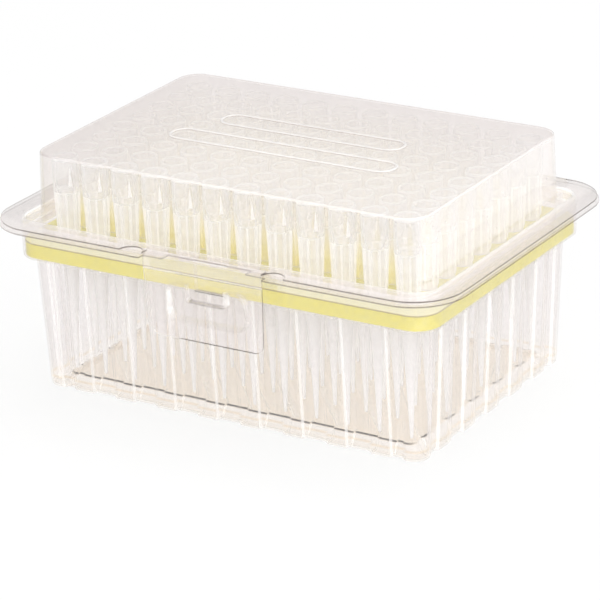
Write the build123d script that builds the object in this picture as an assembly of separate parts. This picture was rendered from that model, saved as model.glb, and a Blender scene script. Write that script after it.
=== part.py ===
"""Box of pipette tips: a clear thermoformed tray and hinged lid, a perforated deck and 96 tips.

Frame: +X along the long side, the latch at -Y, the lid's hinge at +Y, +Z up.
The origin is at the centre of the footprint, on the surface that the tray stands on.
All sizes are in millimetres.
"""
from build123d import *
import math
import os

# ---- the tip grid, which everything else is laid out around ----
PITCH = 9.0  # centre distance of neighbouring tips
COLUMNS = 12  # tips along X
ROWS = 8  # tips along Y
DECK_MARGIN = (10.2, 9.3)  # the deck's edge beyond the outermost tips, on X and Y

# ---- formed sheet ----
SHEET = 0.5  # wall of the tray, the lid and the tab
FLANGE_GAP = 0.6  # air between the two flanges when the lid is shut

# ---- heights, each from the piece below it ----
PLATEAU_TOP = 3.1  # the tray's raised floor above the resting surface
TIP_FLOOR_GAP = 0.8  # tip points above the raised floor
FLANGE_RISE = 4.95  # upper face of the tray's flange above the deck
CHANNEL_GAP = 2.5  # underside of the lid's channel above the deck
TIP_HEADROOM = 1.0  # lid's top above the tips

# ---- the tray, insets on X and Y ----
WAIST_INSET = (2.6, 1.7)  # lower wall just under the step, behind the deck's edge
FOOT_TAPER = 1.7  # how much further in it stands
FOOT_RADIUS = 3.6
WAIST_RADIUS = 4.6
FOOT_CHAMFER = 0.7  # folded edge round the feet
PLATEAU_INSET = (5.0, 4.5)  # raised floor's top edge behind the foot
PLATEAU_RADIUS = 1.6
PLATEAU_DRAFT = 1.1  # how far its riser leans out on the way down

# ---- the flutes in the lower wall ----
FLUTE_PITCH = 12.5
FLUTE_WIDTH = 5.0  # flat face of a rib
FLUTE_FLANK = 0.7  # its sloped side, seen from above
FLUTE_DEPTH = 1.1
CORNER_POST = 5.4  # plain length left at each corner
LAST_VALLEY = 1.5  # least space between a corner post and the rib beside it

# ---- the deck ----
DECK_RADIUS = 6.2
DECK_HEIGHT = 4.0  # skirt, from the step up to the top face
DECK_PLATE = 1.4
DECK_SKIRT = 1.3
DECK_CLEARANCE = 0.25  # to the tray's wall
DECK_EDGE = 0.35  # softened upper edge
NOTCH_SPAN = 37.0  # between the two moulding notches of a short side
NOTCH = (0.5, 0.35, 2.3)  # width, depth and height of a notch

# ---- the flanges ----
FLANGE_WIDTH = (5.45, 5.35)  # the lid's, beyond the tray's wall
FLANGE_RADIUS = 13.0
FLANGE_OVERHANG = 0.5  # the tray's flange shows this much beyond it

# ---- the lid ----
LID_CLEARANCE = 0.35  # its plug wall to the tray's wall
DOME_INSET = (3.7, 3.5)  # its top edge behind the deck's
DOME_RADIUS = 6.0
DOME_DRAFT = 0.7  # how much wider it is at its foot
DOME_EDGE = 1.1  # rolled edge round the top
BEAD_WIDTH = 0.9  # stiffening beads on the top, two loops side by side
BEAD_HEIGHT = 0.3
BEAD_LENGTHS = (66.0, 54.0)  # over all, the front loop first
BEAD_DEPTH = 8.5  # of a loop along Y
BEAD_SPACING = 15.0  # between the loops' centre lines

# ---- the latch ----
TAB_HALF_WIDTH = 17.2
TAB_TAPER = 0.95  # how much narrower each side is at its lower edge
TAB_HEIGHT = 18.0
TAB_TILT = 4.0  # degrees that it leans in at rest
TAB_RADIUS = 2.6
LIP_RADIUS = 2.2  # outer radius where the flange turns down
LIP_INSET = 0.4  # lip's outer face behind the flange's edge
CREASE_DROP = 3.9  # the tab's fold below the lid's flange
CREASE_GAP = 0.3  # thinned stretch on each side of the fold
RELIEF_RADIUS = 3.2  # round cut beside the tab
POCKET_HALF_WIDTH = 11.5
POCKET_TOP = 3.2  # below the fold
POCKET_BOTTOM = 13.6
POCKET_DEPTH = 2.6
POCKET_RADIUS = 3.2
POCKET_GAP_HALF = 5.4  # half the space left for the catch
POCKET_BAR_TOP = 7.6  # below the fold
CATCH_HALF_WIDTH = 4.7
CATCH_DROP = 5.75  # its underside below the fold
CATCH_CLEARANCE = 0.25  # to the tab's bar
TRAY_NOTCH_CLEARANCE = 0.5  # tray flange to the lip and to the tab's pocket

# ---- a tip, measured from its point ----
TIP_LENGTH = 57.8
TIP_BELOW_DECK = 36.4
TIP_COLLAR = 9.0  # plain length at the top
COLLAR_OD = 6.9
COLLAR_BORE = 5.9
SOCKET_DEPTH = 6.0  # straight seat for the pipette's nozzle, from the rim
TIP_NECK_OD = 5.2  # at the deck
TIP_NECK_BORE = 4.2
TIP_MID = 16.0  # where the taper changes
TIP_MID_OD = 2.35
TIP_MID_BORE = 1.5
TIP_POINT_OD = 0.8
TIP_POINT_BORE = 0.45
RIB_COUNT = 8
RIB_THICKNESS = 0.55
RIB_OD = 6.7
HOLE_CLEARANCE = 0.2  # deck hole to the neck, on the radius
COLLAR_SLOPE = 0.8  # slope from the collar down to the neck

# ---- worked out from the above ----
TIP_POINT_Z = PLATEAU_TOP + TIP_FLOOR_GAP
DECK_TOP = TIP_POINT_Z + TIP_BELOW_DECK
LEDGE_TOP = DECK_TOP - DECK_HEIGHT
FLANGE_TOP = DECK_TOP + FLANGE_RISE
LID_LEDGE_TOP = DECK_TOP + CHANNEL_GAP + SHEET
LID_TOP = TIP_POINT_Z + TIP_LENGTH + TIP_HEADROOM + SHEET
GRID_HALF = ((COLUMNS - 1) * PITCH / 2, (ROWS - 1) * PITCH / 2)
DECK_HALF = tuple(grid + margin for grid, margin in zip(GRID_HALF, DECK_MARGIN))
WAIST_HALF = tuple(deck - step for deck, step in zip(DECK_HALF, WAIST_INSET))
FOOT_HALF = tuple(half - FOOT_TAPER for half in WAIST_HALF)
PLATEAU_HALF = tuple(foot - step for foot, step in zip(FOOT_HALF, PLATEAU_INSET))
DOME_HALF = tuple(deck - step for deck, step in zip(DECK_HALF, DOME_INSET))
TRAY_WALL_INNER = tuple(half + DECK_CLEARANCE for half in DECK_HALF)
TRAY_WALL_OUTER = tuple(half + SHEET for half in TRAY_WALL_INNER)
TRAY_WALL_RADIUS = DECK_RADIUS + DECK_CLEARANCE
LID_FLANGE_BOTTOM = FLANGE_TOP + FLANGE_GAP
LID_FLANGE_TOP = LID_FLANGE_BOTTOM + SHEET
FLANGE_HALF = tuple(wall + width for wall, width in zip(TRAY_WALL_OUTER, FLANGE_WIDTH))
TRAY_FLANGE_HALF = tuple(half + FLANGE_OVERHANG for half in FLANGE_HALF)
PLUG_OUTER = tuple(half - LID_CLEARANCE for half in TRAY_WALL_INNER)
PLUG_INNER = tuple(half - SHEET for half in PLUG_OUTER)
PLUG_RADIUS = TRAY_WALL_RADIUS - LID_CLEARANCE
DOME_FOOT = tuple(half + DOME_DRAFT for half in DOME_HALF)
LIP_FACE_Y = -FLANGE_HALF[1] + LIP_INSET
CREASE_Y = LIP_FACE_Y + SHEET / 2
CREASE_Z = LID_FLANGE_TOP - CREASE_DROP
CATCH_BOTTOM = CREASE_Z - CATCH_DROP


def rounded(half, radius, z):
    """A flat rounded rectangle at height z."""
    return Pos(0, 0, z) * RectangleRounded(2 * half[0], 2 * half[1], radius)


def block(half, radius, low, high):
    """A straight rounded block from low to high."""
    return extrude(rounded(half, radius, low), amount=high - low)


def tapered(low_half, low_radius, low, high_half, high_radius, high):
    """A rounded block whose sides lean between two heights."""
    return loft([rounded(low_half, low_radius, low), rounded(high_half, high_radius, high)], ruled=True)


def inset(half, amount):
    return tuple(size - amount for size in half)


def flute_count(foot):
    """How many ribs fit between the two corner posts of a side."""
    between_posts = 2 * (foot - CORNER_POST - FLUTE_FLANK - LAST_VALLEY)
    valley = FLUTE_PITCH - FLUTE_WIDTH - 2 * FLUTE_FLANK
    return int((between_posts + valley) // FLUTE_PITCH)


def flute_steps(half, count):
    """Places along one side where the fluted wall changes, each with its depth behind the rib faces."""
    first = -(half - CORNER_POST)
    steps = [(first, 0.0), (first + FLUTE_FLANK, FLUTE_DEPTH)]
    for index in range(count):
        centre = (index - (count - 1) / 2) * FLUTE_PITCH
        near = centre - FLUTE_WIDTH / 2
        far = centre + FLUTE_WIDTH / 2
        steps += [(near - FLUTE_FLANK, FLUTE_DEPTH), (near, 0.0)]
        steps += [(far, 0.0), (far + FLUTE_FLANK, FLUTE_DEPTH)]
    return steps + [(-first - FLUTE_FLANK, FLUTE_DEPTH), (-first, 0.0)]


def fluted(half, radius):
    """The tray's castellated outline: ribs on all four sides and a round corner post at each corner."""
    half_x, half_y = half
    long_side = flute_steps(half_x, flute_count(FOOT_HALF[0]))
    short_side = flute_steps(half_y, flute_count(FOOT_HALF[1]))
    sides = [
        [(along, -half_y + depth) for along, depth in long_side],
        [(half_x - depth, along) for along, depth in short_side],
        [(-along, half_y - depth) for along, depth in long_side],
        [(-half_x + depth, -along) for along, depth in short_side],
    ]
    bulge = radius * (1 - math.sqrt(0.5))
    corners = [(half_x, -half_y), (half_x, half_y), (-half_x, half_y), (-half_x, -half_y)]
    edges = []
    for index, side in enumerate(sides):
        following = sides[(index + 1) % 4]
        x, y = corners[index]
        sign_x, sign_y = math.copysign(1, x), math.copysign(1, y)
        on_x_side = (x - sign_x * radius, y)
        on_y_side = (x, y - sign_y * radius)
        start, end = (on_x_side, on_y_side) if index % 2 == 0 else (on_y_side, on_x_side)
        edges += Polyline(*side, start).edges()
        edges.append(ThreePointArc(start, (x - sign_x * bulge, y - sign_y * bulge), end))
        edges.append(Line(end, following[0]))
    return make_face(edges)


def wall_section(z, shrink):
    """The lower wall's outline at height z, shrunk all round by one amount."""
    share = z / LEDGE_TOP
    half = tuple(foot + share * (waist - foot) for foot, waist in zip(FOOT_HALF, WAIST_HALF))
    face = fluted(half, FOOT_RADIUS + share * (WAIST_RADIUS - FOOT_RADIUS))
    if shrink:
        face = offset(face, amount=-shrink, kind=Kind.INTERSECTION)
    return Pos(0, 0, z) * face


def fluted_wall(shrink, low, high):
    """The lower wall's body between two heights."""
    return loft([wall_section(low, shrink), wall_section(high, shrink)], ruled=True)


def base_tray():
    """The formed tray: fluted lower wall on a raised floor, a step for the deck, a wall and a flange."""
    foot = loft([wall_section(0, FOOT_CHAMFER), wall_section(FOOT_CHAMFER, 0)], ruled=True)
    shape = foot + fluted_wall(0, FOOT_CHAMFER, LEDGE_TOP)
    shape += block(TRAY_WALL_OUTER, TRAY_WALL_RADIUS + SHEET, LEDGE_TOP - SHEET, FLANGE_TOP)
    shape += block(TRAY_FLANGE_HALF, FLANGE_RADIUS + FLANGE_OVERHANG, FLANGE_TOP - SHEET, FLANGE_TOP)
    shape -= flange_notches()
    shape += catch(0)
    shape -= fluted_wall(SHEET, SHEET, LEDGE_TOP)
    shape -= block(TRAY_WALL_INNER, TRAY_WALL_RADIUS, LEDGE_TOP, FLANGE_TOP)
    shape -= catch(SHEET)
    shape += plateau(SHEET, PLATEAU_TOP)
    return shape - plateau(0, PLATEAU_TOP - SHEET)


def catch(shrink):
    """The catch pressed out of the tray's front wall, or the space inside it when shrunk."""
    face = pocket_face_y(POCKET_BAR_TOP) + CATCH_CLEARANCE + shrink
    half = CATCH_HALF_WIDTH - shrink
    back = -DECK_HALF[1] if shrink else -TRAY_WALL_OUTER[1]
    return box_between((-half, face, CATCH_BOTTOM + shrink), (half, back, FLANGE_TOP - shrink))


def plateau(grow, top):
    """The raised floor's block, from the resting surface up, grown sideways by one amount."""
    high = tuple(half + grow for half in PLATEAU_HALF)
    low = tuple(half + PLATEAU_DRAFT for half in high)
    return tapered(low, PLATEAU_RADIUS + PLATEAU_DRAFT, 0, high, PLATEAU_RADIUS, top)


def box_between(low, high):
    """A plain box between two corners."""
    size = [b - a for a, b in zip(low, high)]
    return Pos(*low) * Box(*size, align=(Align.MIN, Align.MIN, Align.MIN))


def pocket_face_y(below_fold):
    """Y of the tab pocket's innermost face, at a distance below the fold."""
    lean = math.radians(TAB_TILT)
    return CREASE_Y + (SHEET / 2 + POCKET_DEPTH) * math.cos(lean) + below_fold * math.sin(lean)


def flange_notches():
    """Cuts in the tray's flange: one behind the lip, and a deeper one that the tab's pocket passes."""
    cuts = []
    for half_width, reach in (
        (TAB_HALF_WIDTH, LIP_FACE_Y + SHEET),
        (POCKET_HALF_WIDTH, pocket_face_y(POCKET_TOP)),
    ):
        half = half_width + TRAY_NOTCH_CLEARANCE
        front = -2 * FLANGE_HALF[1]
        back = reach + TRAY_NOTCH_CLEARANCE
        cuts.append(box_between((-half, front, FLANGE_TOP - SHEET), (half, back, FLANGE_TOP)))
    return cuts


def lid():
    """The formed lid: flange, plug wall, channel and dome, with the lip that carries the tab."""
    flange = block(FLANGE_HALF, FLANGE_RADIUS, LID_FLANGE_BOTTOM, LID_FLANGE_TOP)
    lip_start = LIP_FACE_Y + LIP_RADIUS
    flange -= box_between(
        (-TAB_HALF_WIDTH, -2 * FLANGE_HALF[1], LID_FLANGE_BOTTOM),
        (TAB_HALF_WIDTH, lip_start, LID_FLANGE_TOP))
    for side in (-1, 1):
        centre = Pos(side * (TAB_HALF_WIDTH + RELIEF_RADIUS), -FLANGE_HALF[1], LID_FLANGE_BOTTOM)
        flange -= centre * Cylinder(RELIEF_RADIUS, 3 * SHEET)
    shape = flange + block(PLUG_OUTER, PLUG_RADIUS, LID_LEDGE_TOP - SHEET, LID_FLANGE_TOP)
    shape -= block(PLUG_INNER, PLUG_RADIUS - SHEET, LID_LEDGE_TOP, LID_FLANGE_TOP)
    dome = tapered(
        DOME_FOOT, DOME_RADIUS + DOME_DRAFT, LID_LEDGE_TOP - SHEET, DOME_HALF, DOME_RADIUS, LID_TOP)
    dome = fillet(dome.edges().group_by(Axis.Z)[-1], DOME_EDGE)
    inside = tapered(
        inset(DOME_FOOT, SHEET), DOME_RADIUS + DOME_DRAFT - SHEET, LID_LEDGE_TOP - SHEET,
        inset(DOME_HALF, SHEET), DOME_RADIUS - SHEET, LID_TOP - SHEET)
    inside = fillet(inside.edges().group_by(Axis.Z)[-1], DOME_EDGE - SHEET)
    return shape + dome - inside + lip() + beads()


def lip():
    """The flange turned down over the tray's notch, as far as the tab's fold."""
    centre_y = LIP_FACE_Y + LIP_RADIUS
    centre_z = LID_FLANGE_TOP - LIP_RADIUS
    ring = Circle(LIP_RADIUS) - Circle(LIP_RADIUS - SHEET)
    quarter = ring & (Pos(-LIP_RADIUS / 2, LIP_RADIUS / 2) * Rectangle(LIP_RADIUS, LIP_RADIUS))
    turned = Plane((-TAB_HALF_WIDTH, centre_y, centre_z), x_dir=(0, 1, 0), z_dir=(1, 0, 0)) * quarter
    bend = extrude(turned, amount=2 * TAB_HALF_WIDTH, dir=(1, 0, 0))
    skirt = box_between(
        (-TAB_HALF_WIDTH, LIP_FACE_Y, CREASE_Z + CREASE_GAP), (TAB_HALF_WIDTH, LIP_FACE_Y + SHEET, centre_z))
    return bend + skirt


def beads():
    """Raised stiffening beads on the lid's top: two long loops, one behind the other."""
    loops = []
    for length, side in zip(BEAD_LENGTHS, (-0.5, 0.5)):
        outline = SlotOverall(length, BEAD_DEPTH)
        hollow = SlotOverall(length - 2 * BEAD_WIDTH, BEAD_DEPTH - 2 * BEAD_WIDTH)
        ring = Pos(0, side * BEAD_SPACING, LID_TOP - SHEET / 2) * (outline - hollow)
        loops.append(extrude(ring, amount=SHEET / 2 + BEAD_HEIGHT))
    return loops


def latch_tab():
    """The tab below the fold, with a pocket pressed inward round the tray's catch."""
    plate = tab_plate()
    shape = extrude(plate, amount=SHEET / 2, both=True)
    outer = extrude(pocket_outline(0), amount=SHEET / 2 + POCKET_DEPTH)
    inner = extrude(Pos(0, 0, -SHEET / 2) * pocket_outline(SHEET), amount=SHEET / 2 + POCKET_DEPTH)
    shape = shape + outer - inner
    place = Plane((0, CREASE_Y, CREASE_Z), x_dir=(1, 0, 0), z_dir=(0, 1, 0))
    return place * (Rot(TAB_TILT, 0, 0) * shape)


def tab_plate():
    """A flat plate hung below the fold, in the tab's own plane, narrower and round at its lower edge."""
    top = (TAB_HALF_WIDTH, CREASE_GAP)
    low = (TAB_HALF_WIDTH - TAB_TAPER, TAB_HEIGHT)
    plate = make_face(Polyline(top, low, (-low[0], low[1]), (-top[0], top[1]), close=True))
    lower = plate.vertices().group_by(Axis.Y)[-1]
    return fillet(lower, TAB_RADIUS)


def pocket_outline(shrink):
    """The pocket's outline in the tab's plane: a pill with a gap at the top for the catch."""
    width = 2 * (POCKET_HALF_WIDTH - shrink)
    height = POCKET_BOTTOM - POCKET_TOP - 2 * shrink
    centre = (POCKET_TOP + POCKET_BOTTOM) / 2
    pill = Pos(0, centre) * RectangleRounded(width, height, POCKET_RADIUS - shrink)
    bar_top = POCKET_BAR_TOP + shrink
    gap = Pos(0, bar_top / 2) * Rectangle(2 * (POCKET_GAP_HALF + shrink), bar_top)
    return pill - gap


def deck_plate():
    """The coloured deck: a skirted plate with a hole for each tip, resting on the tray's step."""
    shape = block(DECK_HALF, DECK_RADIUS, LEDGE_TOP, DECK_TOP)
    shape = fillet(shape.edges().group_by(Axis.Z)[-1], DECK_EDGE)
    shape -= block(inset(DECK_HALF, DECK_SKIRT), DECK_RADIUS - DECK_SKIRT, LEDGE_TOP, DECK_TOP - DECK_PLATE)
    radius = TIP_NECK_OD / 2 + HOLE_CLEARANCE
    holes = [Pos(x, y, DECK_TOP - DECK_PLATE / 2) * Cylinder(radius, 2 * DECK_PLATE)
             for x in column_places() for y in row_places()]
    width, depth, height = NOTCH
    for side_x in (-1, 1):
        for side_y in (-1, 1):
            centre = (side_x * DECK_HALF[0], side_y * NOTCH_SPAN / 2, LEDGE_TOP + DECK_HEIGHT / 2)
            holes.append(Pos(*centre) * Box(2 * depth, width, height))
    return shape - holes


def column_places():
    return [(index - (COLUMNS - 1) / 2) * PITCH for index in range(COLUMNS)]


def row_places():
    return [(index - (ROWS - 1) / 2) * PITCH for index in range(ROWS)]


def tip():
    """One hollow tip, point down: fine taper, neck, ribbed shank and plain collar."""
    deck = TIP_BELOW_DECK
    collar = TIP_LENGTH - TIP_COLLAR
    outside = [
        (TIP_POINT_OD / 2, 0), (TIP_MID_OD / 2, TIP_MID), (TIP_NECK_OD / 2, deck),
        (TIP_NECK_OD / 2, collar - COLLAR_SLOPE), (COLLAR_OD / 2, collar), (COLLAR_OD / 2, TIP_LENGTH),
    ]
    inside = [
        (COLLAR_BORE / 2, TIP_LENGTH), (COLLAR_BORE / 2, TIP_LENGTH - SOCKET_DEPTH),
        (TIP_NECK_BORE / 2, collar - COLLAR_SLOPE),
        (TIP_NECK_BORE / 2, deck), (TIP_MID_BORE / 2, TIP_MID), (TIP_POINT_BORE / 2, 0),
    ]
    section = Plane.XZ * make_face(Polyline(*outside, *inside, close=True))
    shape = revolve(section, Axis.Z)
    root = (TIP_NECK_OD + TIP_NECK_BORE) / 4
    reach = RIB_OD / 2 - root
    height = collar - COLLAR_SLOPE / 2 - deck
    rib = Pos(root, 0, deck) * Box(reach, RIB_THICKNESS, height, align=(Align.MIN, Align.CENTER, Align.MIN))
    return shape + [Rot(0, 0, index * 360 / RIB_COUNT) * rib for index in range(RIB_COUNT)]


def write(shape, name):
    export_step(shape, f"parts/{name}.step")


os.makedirs("parts", exist_ok=True)
write(base_tray(), "base_tray")
write(lid(), "lid")
write(latch_tab(), "latch_tab")
write(deck_plate(), "deck_plate")
one_tip = tip()
for number, x in enumerate(column_places(), start=1):
    column = [Pos(x, y, TIP_POINT_Z) * one_tip for y in row_places()]
    write(Compound(children=column), f"tips_column_{number:02d}")
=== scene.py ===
# %% [markdown]
# # A clear box of pipette tips
# The real object is two thin clear shells folded from one sheet, a coloured deck between them, and
# ninety-six soft white tips that hang in the deck. Nearly all of it is see-through, so the lesson is
# about thin walls: where a fold turns, where a sheet is cut, and how light passes many layers.

# %% Load the frame
import math
import bpy
import numpy as np
from mathutils import Matrix, Vector


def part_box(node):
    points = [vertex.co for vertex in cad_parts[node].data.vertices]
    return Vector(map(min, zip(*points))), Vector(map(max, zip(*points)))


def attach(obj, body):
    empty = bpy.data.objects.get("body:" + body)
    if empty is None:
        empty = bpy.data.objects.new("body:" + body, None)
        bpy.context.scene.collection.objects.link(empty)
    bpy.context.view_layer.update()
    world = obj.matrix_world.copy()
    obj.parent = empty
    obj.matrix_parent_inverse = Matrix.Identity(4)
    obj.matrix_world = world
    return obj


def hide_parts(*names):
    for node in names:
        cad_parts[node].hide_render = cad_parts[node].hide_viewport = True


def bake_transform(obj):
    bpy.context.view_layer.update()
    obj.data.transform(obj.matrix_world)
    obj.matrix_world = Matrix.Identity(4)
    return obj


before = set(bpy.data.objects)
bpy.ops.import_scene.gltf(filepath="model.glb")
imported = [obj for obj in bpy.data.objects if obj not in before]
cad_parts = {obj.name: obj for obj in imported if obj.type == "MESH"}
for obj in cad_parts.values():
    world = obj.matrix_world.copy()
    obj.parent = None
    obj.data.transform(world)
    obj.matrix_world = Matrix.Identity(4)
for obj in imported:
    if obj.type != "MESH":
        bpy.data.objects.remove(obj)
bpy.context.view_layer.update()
MM = 0.001
scene = bpy.context.scene

# %% [markdown]
# The camera is set by its place and three angles. A long lens keeps the sides of the box nearly
# parallel.

# %% Camera
AZIMUTH, ELEVATION, ROLL = 31.68, 21.656, -1.899
CAMERA_PLACE = Vector((0.419858, -0.681462, 0.337906))
LENS = 201.05


def camera_turn(azimuth, elevation, roll):
    """The camera's right, up and back directions, as the columns of a rotation."""
    a, e, r = (math.radians(angle) for angle in (azimuth, elevation, roll))
    back = Vector((math.sin(a) * math.cos(e), -math.cos(a) * math.cos(e), math.sin(e)))
    level = Vector((math.cos(a), math.sin(a), 0))
    above = back.cross(level)
    right = math.cos(r) * level + math.sin(r) * above
    up = -math.sin(r) * level + math.cos(r) * above
    return Matrix((right, up, back)).transposed()


camera = bpy.data.objects.new("camera", bpy.data.cameras.new("camera"))
camera.data.lens = LENS
camera.data.clip_start = 0.01
camera.matrix_world = Matrix.Translation(CAMERA_PLACE) @ camera_turn(AZIMUTH, ELEVATION, ROLL).to_4x4()
scene.collection.objects.link(camera)
scene.camera = camera
print("camera", round(CAMERA_PLACE.length, 3), "m from the origin, lens", LENS, "mm")

# %% [markdown]
# ## Sizes that shapes and finishes share
# The frame gives the outer size of every part. The few sizes below lie inside those boxes, and both
# the shells and their finishes are worked out from them.

# %% Shared sizes, in millimetres
SHEET = 0.5
PITCH, COLUMNS, ROWS, TIP_POINT_Z = 9.0, 12, 8, 3.9
RAISED_FLOOR_Z, LID_FLANGE_Z, LID_TOP_Z = 2.85, 46.1, 62.95
base_high, lid_high = (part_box(name)[1] / MM for name in ("base_tray", "lid"))
deck_low, deck_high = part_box("deck_plate")  # these two stay in metres, as the finishes read them
deck_bottom = deck_low.z / MM
tray_flange = (base_high.x, base_high.y)
lid_flange = (lid_high.x, lid_high.y)
tray_flange_z = base_high.z - SHEET / 2
print("tray", tray_flange, "lid", lid_flange, "deck from", deck_bottom)

# %% [markdown]
# ## Helpers for node trees
# Each material and each Geometry Nodes tree is built in code. A few small helpers keep that short:
# they add a node and fill its inputs, do arithmetic and fading, start a group with named sockets, and
# start and finish a material.

# %% Node helpers
def fill(tree, socket, value):
    """Gives an input its value, or links it to another node's output."""
    if isinstance(value, bpy.types.NodeSocket):
        tree.links.new(value, socket)
    else:
        socket.default_value = value


def add(tree, kind, inputs=None, **settings):
    """A new node, with its settings and inputs filled."""
    node = tree.nodes.new(kind)
    for name, value in settings.items():
        setattr(node, name, value)
    for name, value in (inputs or {}).items():
        fill(tree, node.inputs[name], value)
    return node


def calc(tree, operation, *values, clamp=False):
    """The result of one Math node."""
    inputs = dict(enumerate(values))
    return add(tree, "ShaderNodeMath", inputs, operation=operation, use_clamp=clamp).outputs[0]


def product(tree, first, *others):
    """All the values multiplied. For masks, it is 1 where every one of them is."""
    for value in others:
        first = calc(tree, "MULTIPLY", first, value)
    return first


def largest(tree, first, *others):
    """The largest of the values. For masks, it is 1 where any of them is."""
    for value in others:
        first = calc(tree, "MAXIMUM", first, value)
    return first


def fade(tree, value, start, end, low=0.0, high=1.0):
    """low up to where the value is start, high from where it is end on, and a straight run between."""
    return add(tree, "ShaderNodeMapRange", {
        "Value": value, "From Min": start, "From Max": end, "To Min": low, "To Max": high}).outputs[0]


def new_group(name, kind, inputs, outputs):
    """A node group with named sockets. Returns the tree and its input and output nodes."""
    tree = bpy.data.node_groups.new(name, kind)
    for direction, sockets in (("INPUT", inputs), ("OUTPUT", outputs)):
        for socket_name, socket_type, value in sockets:
            socket = tree.interface.new_socket(socket_name, in_out=direction, socket_type=socket_type)
            if value is not None:
                socket.default_value = value
    return tree, tree.nodes.new("NodeGroupInput"), tree.nodes.new("NodeGroupOutput")


def new_material(name):
    """An empty node material and its tree."""
    material = bpy.data.materials.new(name)
    material.use_nodes = True
    material.node_tree.nodes.clear()
    return material, material.node_tree


def finished(material, surface):
    """Links a material's last shader to its output, and says how many nodes the finish took."""
    add(material.node_tree, "ShaderNodeOutputMaterial", {"Surface": surface})
    print("finish", material.name, len(material.node_tree.nodes), "nodes")
    return material


# %% [markdown]
# ## The finishes
# Formed sheet is never quite flat: it keeps soft waves from the mould and the oven. Moulded tips show
# flow marks. Both are slow noise, so one group makes it, and each material asks for its own scale.

# %% Group: soft unevenness
def unevenness_group():
    """Slow waves and a fine haze from Object coordinates, as a height and a mask."""
    tree, inside, outside = new_group(
        "soft_unevenness", "ShaderNodeTree",
        [("Waves per metre", "NodeSocketFloat", 60.0), ("Haze per metre", "NodeSocketFloat", 900.0)],
        [("Height", "NodeSocketFloat", None), ("Haze", "NodeSocketFloat", None)])
    place = add(tree, "ShaderNodeTexCoord").outputs["Object"]
    waves = add(tree, "ShaderNodeTexNoise", {
        "Vector": place, "Scale": inside.outputs["Waves per metre"], "Detail": 2.0})
    haze = add(tree, "ShaderNodeTexNoise", {
        "Vector": place, "Scale": inside.outputs["Haze per metre"], "Detail": 4.0, "Roughness": 0.6})
    tree.links.new(waves.outputs["Fac"], outside.inputs["Height"])
    tree.links.new(haze.outputs["Fac"], outside.inputs["Haze"])
    return tree


UNEVENNESS = unevenness_group()


def unevenness(tree, waves, haze):
    """The group at a finish's own scales, in waves and haze spots per metre: its height and its haze."""
    return add(tree, "ShaderNodeGroup", {
        "Waves per metre": waves, "Haze per metre": haze}, node_tree=UNEVENNESS).outputs


print("group", UNEVENNESS.name, len(UNEVENNESS.nodes), "nodes")

# %% [markdown]
# Most finishes here mix colours and shaders by a share from 0 to 1: how glancing the view is, where on
# the box the point lies, or what the ray is for. Rays that only carry light pass the clear walls
# almost freely, so that the inside of the box stays as bright as in a white room.

# %% Shares and mixes
WHITE = (1, 1, 1, 1)
STRAIGHT_ON, MIRROR_POWER = 0.04, 5.0


def mix_shaders(tree, share, first, second):
    """first where share is 0 and second where it is 1."""
    return add(tree, "ShaderNodeMixShader", {0: share, 1: first, 2: second}).outputs[0]


def mix_colours(tree, share, first, second):
    """first where share is 0 and second where it is 1, as a colour."""
    node = add(tree, "ShaderNodeMix", data_type="RGBA")
    sockets = {socket.identifier: socket for socket in [*node.inputs, *node.outputs]}
    for name, value in (("Factor_Float", share), ("A_Color", first), ("B_Color", second)):
        fill(tree, sockets[name], value)
    return sockets["Result_Color"]


def layered(tree, colour, *layers):
    """A colour with others laid over it in turn. Each layer is the share of it that shows, and its colour."""
    for share, over in layers:
        colour = mix_colours(tree, share, colour, over)
    return colour


def object_place(tree):
    """A point's X, Y and Z in the object's own frame, in metres."""
    return add(tree, "ShaderNodeSeparateXYZ", {0: add(tree, "ShaderNodeTexCoord").outputs["Object"]}).outputs


def stored(tree, name):
    """A value that the mesh keeps at its points."""
    return add(tree, "ShaderNodeAttribute", attribute_name=name).outputs["Fac"]


def relief(tree, strength, depth, height):
    """A normal that makes a height look like relief of that depth."""
    return add(tree, "ShaderNodeBump", {
        "Strength": strength, "Distance": depth, "Height": height}).outputs["Normal"]


def see_through(tree, colour):
    """Light goes straight on and keeps this share of each colour."""
    return add(tree, "ShaderNodeBsdfTransparent", {"Color": colour}).outputs[0]


def glancing_share(tree, normal, power):
    """0 where the surface is seen straight on, rising to 1 at its outline."""
    facing = add(tree, "ShaderNodeLayerWeight", {"Blend": 0.5, "Normal": normal}).outputs["Facing"]
    return calc(tree, "POWER", facing, power)


def with_mirror(tree, normal, roughness, body):
    """A body under a clear surface, which mirrors little straight on and all at a glancing angle."""
    mirror = add(tree, "ShaderNodeBsdfGlossy", {
        "Color": WHITE, "Roughness": roughness, "Normal": normal}).outputs[0]
    share = fade(tree, glancing_share(tree, normal, MIRROR_POWER), 0.0, 1.0, STRAIGHT_ON)
    return mix_shaders(tree, share, body, mirror)


def rays(tree, *kinds):
    """1 for rays of the kinds named, and 0 for all others."""
    path = add(tree, "ShaderNodeLightPath").outputs
    return largest(tree, *[path[kind] for kind in kinds])


def looked_at(tree, lit, shown):
    """shown for rays that show the surface, and lit for those that only carry light to other surfaces."""
    seen = calc(tree, "SUBTRACT", 1.0, rays(tree, "Is Shadow Ray", "Is Diffuse Ray"))
    return mix_shaders(tree, seen, lit, shown)
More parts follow.
